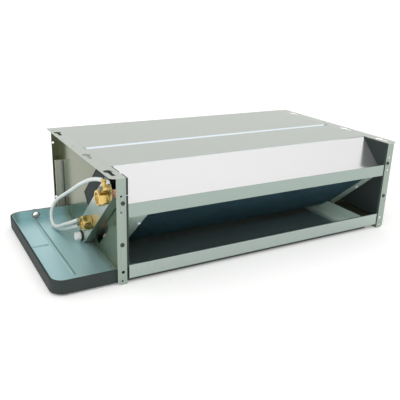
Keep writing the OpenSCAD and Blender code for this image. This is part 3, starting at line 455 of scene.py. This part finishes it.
def hose(name, node, route):
    """A tube along the route.

    Each point's radius is the hose's own and the bevel's depth is 1, because the radius also sets the
    curve's bounds.
    """
    data = bpy.data.curves.new(name, "CURVE")
    data.dimensions = "3D"
    data.bevel_depth = 1
    data.bevel_resolution = HOSE_ROUNDNESS
    data.resolution_u = HOSE_STEPS
    spline = data.splines.new("BEZIER")
    spline.bezier_points.add(len(route) - 1)
    for point, place in zip(spline.bezier_points, route):
        point.co = at(*place)
        point.radius = HOSE_DIAMETER / 2
        point.handle_left_type = "AUTO"
        point.handle_right_type = "AUTO"
    piece = show(name, data, slot="clear_hose", replaced=node)
    wall = piece.modifiers.new("wall", "SOLIDIFY")
    wall.thickness = HOSE_WALL
    wall.offset = -1


# Coil fins at their real pitch, each pressed into waves
COIL_TILT = math.radians(41.6)
COIL_LENGTH = 203.2 * MM
COIL_DEPTH = 66 * MM
FIN_PITCH = 2.1 * MM
FIN_THICKNESS = 0.2 * MM
FIN_WAVE = 0.35 * MM
FIN_WAVES = 16
FIN_STEPS = 96


def fin_pack():
    """One fin, repeated over the coil's width."""
    low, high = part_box("coil_fins")
    middle = (low + high) / 2
    start = Matrix.Translation((low.x, middle.y, middle.z)) @ Matrix.Rotation(-COIL_TILT, 4, "X")
    corners = [(0, -0.5), (FIN_THICKNESS, -0.5), (FIN_THICKNESS, 0.5), (0, 0.5)]
    shape = bmesh.new()
    rings = []
    for step in range(FIN_STEPS + 1):
        share = step / FIN_STEPS
        wave = FIN_WAVE * math.sin(2 * math.pi * FIN_WAVES * share)
        along = (share - 0.5) * COIL_LENGTH
        places = [Vector((wave + x, along, side * COIL_DEPTH)) for x, side in corners]
        rings.append([shape.verts.new(start @ place) for place in places])
    join_rings(shape, rings)
    piece = show("fin_pack", mesh_from("fin_pack", shape), slot="fin_blue", replaced="coil_fins")
    row = piece.modifiers.new("row", "ARRAY")
    row.use_relative_offset = False
    row.use_constant_offset = True
    row.constant_offset_displace = (FIN_PITCH, 0, 0)
    row.count = int((high.x - low.x) / FIN_PITCH)


# Pressed beads in the floor of the pan's extension
PAN_FLOOR = 11
BEAD_HEIGHT = 1.6
BEAD_WIDTH = 11
BEAD_STEPS = 12
BEAD_END = 12
BEAD_END_STEPS = 6
BEADS = [((-94, 66), (-94, 420)), ((-141, 245), (-102, 245))]


def bead(shape, start, end):
    """A low rounded ridge from start to end, with its ends run out into the floor."""
    start = Vector((*start, 0))
    along = Vector((*end, 0)) - start
    across = Vector((-along.y, along.x, 0)).normalized()
    length = along.length
    run_out = [BEAD_END * k / BEAD_END_STEPS for k in range(BEAD_END_STEPS + 1)]
    rows = []
    for station in run_out + [length - distance for distance in reversed(run_out)]:
        rise = math.sin(math.pi / 2 * min(station / BEAD_END, (length - station) / BEAD_END, 1))
        row = []
        for k in range(BEAD_STEPS + 1):
            share = 2 * k / BEAD_STEPS - 1
            height = BEAD_HEIGHT * rise * math.cos(math.pi / 2 * share) ** 2
            place = start + along * (station / length) + across * (share * BEAD_WIDTH / 2)
            row.append(shape.verts.new(at(place.x, place.y, PAN_FLOOR + height)))
        rows.append(row)
    for row, following in zip(rows, rows[1:]):
        for k in range(BEAD_STEPS):
            shape.faces.new((row[k], following[k], following[k + 1], row[k + 1]))
        near = row if row is rows[0] else [row[0], row[-1]]
        far = following if following is rows[-1] else [following[0], following[-1]]
        shape.faces.new(near + far[::-1])


def pan_beads():
    """The pan's beads as one piece."""
    shape = bmesh.new()
    for start, end in BEADS:
        bead(shape, start, end)
    bmesh.ops.recalc_face_normals(shape, faces=shape.faces)
    # The beads take a darker finish as painted shade in the creases
    show("pan_beads", mesh_from("pan_beads", shape, smooth=True), slot="pan_steel", finish="crease_shade")


# Fasteners with domed heads
HEAD_RADIUS = 4.6 * MM
HEAD_HEIGHT = 2.4 * MM
HEAD_RINGS = 22
HEAD_SEGMENTS = 64
RECESS_LENGTH = 2.6 * MM
RECESS_WIDTH = 0.55 * MM
RECESS_DEPTH = 1.1 * MM
POST_SCREWS = [(-6, 185), (-8.5, 93)]
COIL_SCREWS = [(721.0, 80), (721.0, 193), (57.5, 72)]
COIL_TOP = (38.96, 180.47)
COIL_FACE = -37
RIVET_RADIUS = 3 * MM
RIVET_HEIGHT = 1.2 * MM
RIVET_RINGS = 10
RIVET_SEGMENTS = 48
RIVET_X = -21
RIVET_ROWS = (279, 457)
RIM_SHARE = 0.35
TIP_SHARE = 0.02


def dome(radius, height, rings):
    """(radius, height) pairs of a rounded head from its rim to its middle."""
    rim = RIM_SHARE * height
    angles = [math.pi / 2 * k / rings for k in range(rings)]
    curve = [(radius * math.cos(a), rim + (height - rim) * math.sin(a)) for a in angles]
    return [(radius, 0)] + curve + [(radius * TIP_SHARE, height)]


def screw_head(shape, matrix):
    """A screw head with a cross recess."""
    flip = matrix.inverted()
    rings = lathe(shape, dome(HEAD_RADIUS, HEAD_HEIGHT, HEAD_RINGS), matrix, HEAD_SEGMENTS)
    above_rim = rings[2:]
    for ring in above_rim:
        for point in ring:
            local = flip @ point.co
            long_side = max(abs(local.x), abs(local.y))
            short_side = min(abs(local.x), abs(local.y))
            if long_side < RECESS_LENGTH and short_side < RECESS_WIDTH:
                point.co = matrix @ (local - Vector((0, 0, RECESS_DEPTH)))


def rivet_head(shape, matrix):
    """A plain rivet head."""
    lathe(shape, dome(RIVET_RADIUS, RIVET_HEIGHT, RIVET_RINGS), matrix, RIVET_SEGMENTS)


def on_coil(x, along, off):
    """A point in millimetres on the coil: along its slope and off its middle plane."""
    return at(x, COIL_TOP[0] + along * math.cos(COIL_TILT) + off * math.sin(COIL_TILT),
              COIL_TOP[1] - along * math.sin(COIL_TILT) + off * math.cos(COIL_TILT))


def heads(name, head, frames, **shown):
    """One piece with a head at each of the frames."""
    shape = bmesh.new()
    for matrix in frames:
        head(shape, matrix)
    show(name, mesh_from(name, shape, smooth=True), **shown)


def fasteners():
    """Screws in the posts and in the coil's plates, and rivets in the top flanges."""
    posts = [facing(at(place, 0, z), (0, -1, 0)) for x, z in POST_SCREWS for place in (x, BODY_WIDTH - x)]
    heads("post_screw_heads", screw_head, posts, slot="bright_sheet", replaced="post_screws",
          finish="screw_dark")
    down = (0, -math.sin(COIL_TILT), -math.cos(COIL_TILT))
    plates = [facing(on_coil(x, along, COIL_FACE), down) for x, along in COIL_SCREWS]
    # The coil screws take a near-white finish as a painted glint
    heads("coil_screw_heads", screw_head, plates, slot="bright_sheet", replaced="coil_screws",
          finish="glint_white_zinc")
    columns = (RIVET_X, BODY_WIDTH - RIVET_X)
    flanges = [facing(at(x, y, BODY_HEIGHT), (0, 0, 1)) for y in RIVET_ROWS for x in columns]
    heads("rivet_heads", rivet_head, flanges, slot="galvanised", replaced="flange_rivets")


# Brass unions: chamfered hexagons with a thread in the bore
UNION_FLATS = 33 * MM
UNION_LENGTH = 21 * MM
UNION_NECK = 13 * MM
UNION_BORE = 12 * MM
UNION_BORE_LENGTH = 16 * MM
UNION_PORT = 7.5 * MM
UNION_CHAMFER = 2.6 * MM
UNION_CHAMFER_START = 0.97
UNION_CHAMFER_STEPS = 4
UNION_SEGMENTS = 96
THREAD_PITCH = 1.8 * MM
THREAD_DEPTH = 0.55 * MM
THREAD_STEPS = 6


def circle(radius):
    """The distance from the axis to a circle, as a function of the angle."""
    return lambda angle: radius


def thread(depth):
    """The distance from the axis to the bore's thread at that depth, as a function of the angle."""
    def radius(angle):
        turn = (depth / THREAD_PITCH + angle / (2 * math.pi)) % 1
        return UNION_BORE + THREAD_DEPTH * (1 - abs(2 * turn - 1)) * min(depth / THREAD_PITCH, 1)
    return radius


def chamfered_hexagon(share):
    """The distance from the axis to a hexagon cut back to that share of its chamfer, by the angle.

    Its flats face the angles 0, 60 and so on.
    """
    edge = UNION_FLATS / 2 * UNION_CHAMFER_START
    corner = UNION_FLATS / math.sqrt(3)
    limit = edge + (corner - edge) * share

    def radius(angle):
        off = (angle + math.pi / 6) % (math.pi / 3) - math.pi / 6
        return min(UNION_FLATS / 2 / math.cos(off), limit)
    return radius


def union_nut(node):
    """A union from the bottom of its bore, round its mouth and over its outside to its neck's end."""
    low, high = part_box(node)
    middle = (low + high) / 2
    length = high.x - low.x
    outline = [(UNION_BORE_LENGTH, circle(UNION_PORT * TIP_SHARE)), (UNION_BORE_LENGTH, circle(UNION_PORT))]
    bore_steps = int(UNION_BORE_LENGTH / THREAD_PITCH * THREAD_STEPS)
    for step in range(bore_steps, -1, -1):
        depth = UNION_BORE_LENGTH * step / bore_steps
        outline.append((depth, thread(depth)))
    shares = [k / UNION_CHAMFER_STEPS for k in range(UNION_CHAMFER_STEPS + 1)]
    for share in shares:
        outline.append((UNION_CHAMFER * share, chamfered_hexagon(share)))
    for share in reversed(shares):
        outline.append((UNION_LENGTH - UNION_CHAMFER * share, chamfered_hexagon(share)))
    outline += [(UNION_LENGTH, circle(UNION_NECK)), (length, circle(UNION_NECK))]
    shape = bmesh.new()
    turns = [2 * math.pi * k / UNION_SEGMENTS for k in range(UNION_SEGMENTS)]
    rings = []
    for depth, radius in outline:
        rings.append([shape.verts.new((low.x + depth, middle.y + radius(a) * math.cos(a),
                                       middle.z + radius(a) * math.sin(a))) for a in turns])
    join_rings(shape, rings)
    bmesh.ops.recalc_face_normals(shape, faces=shape.faces)
    name = node + "_nut"
    show(name, mesh_from(name, shape, smooth=True), slot="brass", replaced=node)


# Filter cloth: woven threads between the frame's bars
FILTER_PANES = 6
FILTER_BAR = 12 * MM
WEAVE_GAP = 2.6 * MM
WEAVE_WIDTH = 0.5 * MM


def add_box(shape, low, high):
    """Adds a box between two corners."""
    size = high - low
    made = bmesh.ops.create_cube(shape, size=1)
    bmesh.ops.transform(shape, verts=made["verts"],
                        matrix=Matrix.Translation((low + high) / 2) @ Matrix.Diagonal((*size, 1)))


def filter_cloth():
    """Upright threads in front of level ones, pane by pane."""
    low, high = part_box("filter_mesh")
    middle = (low.y + high.y) / 2
    front = middle - WEAVE_WIDTH
    back = middle + WEAVE_WIDTH
    pitch = (high.x - low.x + FILTER_BAR) / FILTER_PANES
    half = WEAVE_WIDTH / 2
    shape = bmesh.new()
    for pane in range(FILTER_PANES):
        x0 = low.x + pane * pitch
        x1 = x0 + pitch - FILTER_BAR
        for k in range(1, int((x1 - x0) / WEAVE_GAP) + 1):
            x = x0 + k * WEAVE_GAP - half
            add_box(shape, Vector((x - half, front, low.z)), Vector((x + half, middle, high.z)))
        for k in range(1, int((high.z - low.z) / WEAVE_GAP) + 1):
            z = low.z + k * WEAVE_GAP - half
            add_box(shape, Vector((x0, middle, z - half)), Vector((x1, back, z + half)))
    show("filter_cloth", mesh_from("filter_cloth", shape), slot="mesh", body="filter", replaced="filter_mesh")


# Rounded edges on folded sheet and cast pieces, in millimetres
EDGE_ROUNDING = {
    "left_side_panel": 0.25, "right_side_panel": 0.25, "front_top_panel": 0.2, "rear_top_panel": 0.2,
    "outlet_deflector": 0.4, "outlet_lower_lip": 0.4, "bottom_panel": 0.4, "rear_panel": 0.3,
    "drain_pan": 0.3, "pan_insulation": 1.5, "left_end_plate": 0.3, "right_end_plate": 0.3,
    "coil_end_cover": 0.4, "air_vent": 0.5, "drain_cock": 0.8, "stub_pipe": 0.4, "stub_washer": 0.6,
    "terminal_box": 0.4, "terminal_box_cover": 0.4, "filter_frame": 0.8, "fan_motor": 1.5,
    "capacitor": 1.5, "drain_spout": 0.5, "left_lining": 0.5, "right_lining": 0.5,
}
ROUNDING_ANGLE = math.radians(40)
ROUNDING_SEGMENTS = 2
WELD_GAP = 1e-6


def round_edges():
    """Welds the solids' faces together and rounds the edges between them."""
    for node, width in EDGE_ROUNDING.items():
        weld = nodes[node].modifiers.new("weld", "WELD")
        weld.merge_threshold = WELD_GAP
        bevel = nodes[node].modifiers.new("rounding", "BEVEL")
        bevel.width = width * MM
        bevel.segments = ROUNDING_SEGMENTS
        bevel.limit_method = "ANGLE"
        bevel.angle_limit = ROUNDING_ANGLE


# Stage; the sky is pairs of height and grey level
WHITE = (1, 1, 1, 1)
FLOOR_REACH = 60
FLOOR_COLOUR = (0.93, 0.93, 0.92, 1)
FLOOR_ROUGHNESS = 0.9
FLOOR_GLOW = 0.15
SUN_STRENGTH = 0.7
SUN_ANGLE = math.radians(50)
SUN_FROM = Vector((-0.45, -0.7, 0.75))
SKY = [(0.0, 1.0), (0.05, 1.0), (0.12, 0.9), (0.25, 0.85), (0.45, 0.85), (0.8, 1.0)]


def make_floor():
    """A wide pale floor that glows a little."""
    shape = bmesh.new()
    bmesh.ops.create_grid(shape, x_segments=1, y_segments=1, size=FLOOR_REACH)
    data = mesh_from("floor", shape)
    finish = Finish("floor", {"Base Color": FLOOR_COLOUR, "Roughness": FLOOR_ROUGHNESS,
                              "Emission Color": WHITE, "Emission Strength": FLOOR_GLOW})
    data.materials.append(finish.material)
    floor = bpy.data.objects.new("floor", data)
    scene.collection.objects.link(floor)


def make_sun():
    """A broad soft sun that no sheet mirrors."""
    lamp = bpy.data.lights.new("sun", "SUN")
    lamp.energy = SUN_STRENGTH
    lamp.angle = SUN_ANGLE
    sun = bpy.data.objects.new("sun", lamp)
    sun.rotation_euler = (-SUN_FROM).to_track_quat("-Z", "Y").to_euler()
    sun.visible_glossy = False
    scene.collection.objects.link(sun)


def make_sky():
    """A grey sky whose level changes with height."""
    world = bpy.data.worlds.new("sky")
    world.use_nodes = True
    scene.world = world
    tree = world.node_tree
    direction = tree.nodes.new("ShaderNodeTexCoord")
    split = tree.nodes.new("ShaderNodeSeparateXYZ")
    ramp = tree.nodes.new("ShaderNodeValToRGB")
    tree.links.new(direction.outputs["Generated"], split.inputs["Vector"])
    tree.links.new(split.outputs["Z"], ramp.inputs["Fac"])
    tree.links.new(ramp.outputs["Color"], tree.nodes["Background"].inputs["Color"])
    stops = ramp.color_ramp.elements
    # New stops start in the middle and are then placed in order
    while len(stops) < len(SKY):
        stops.new(0.5)
    for stop, (height, level) in zip(stops, SKY):
        stop.position = height
        stop.color = (level, level, level, 1)


make_camera()
finish_nodes()
hose("vent_hose_tube", "vent_hose", VENT_ROUTE)
hose("drain_hose_tube", "drain_hose", DRAIN_ROUTE)
fin_pack()
pan_beads()
fasteners()
union_nut("upper_union")
union_nut("lower_union")
filter_cloth()
round_edges()
make_floor()
make_sun()
make_sky()

bpy.context.view_layer.update()
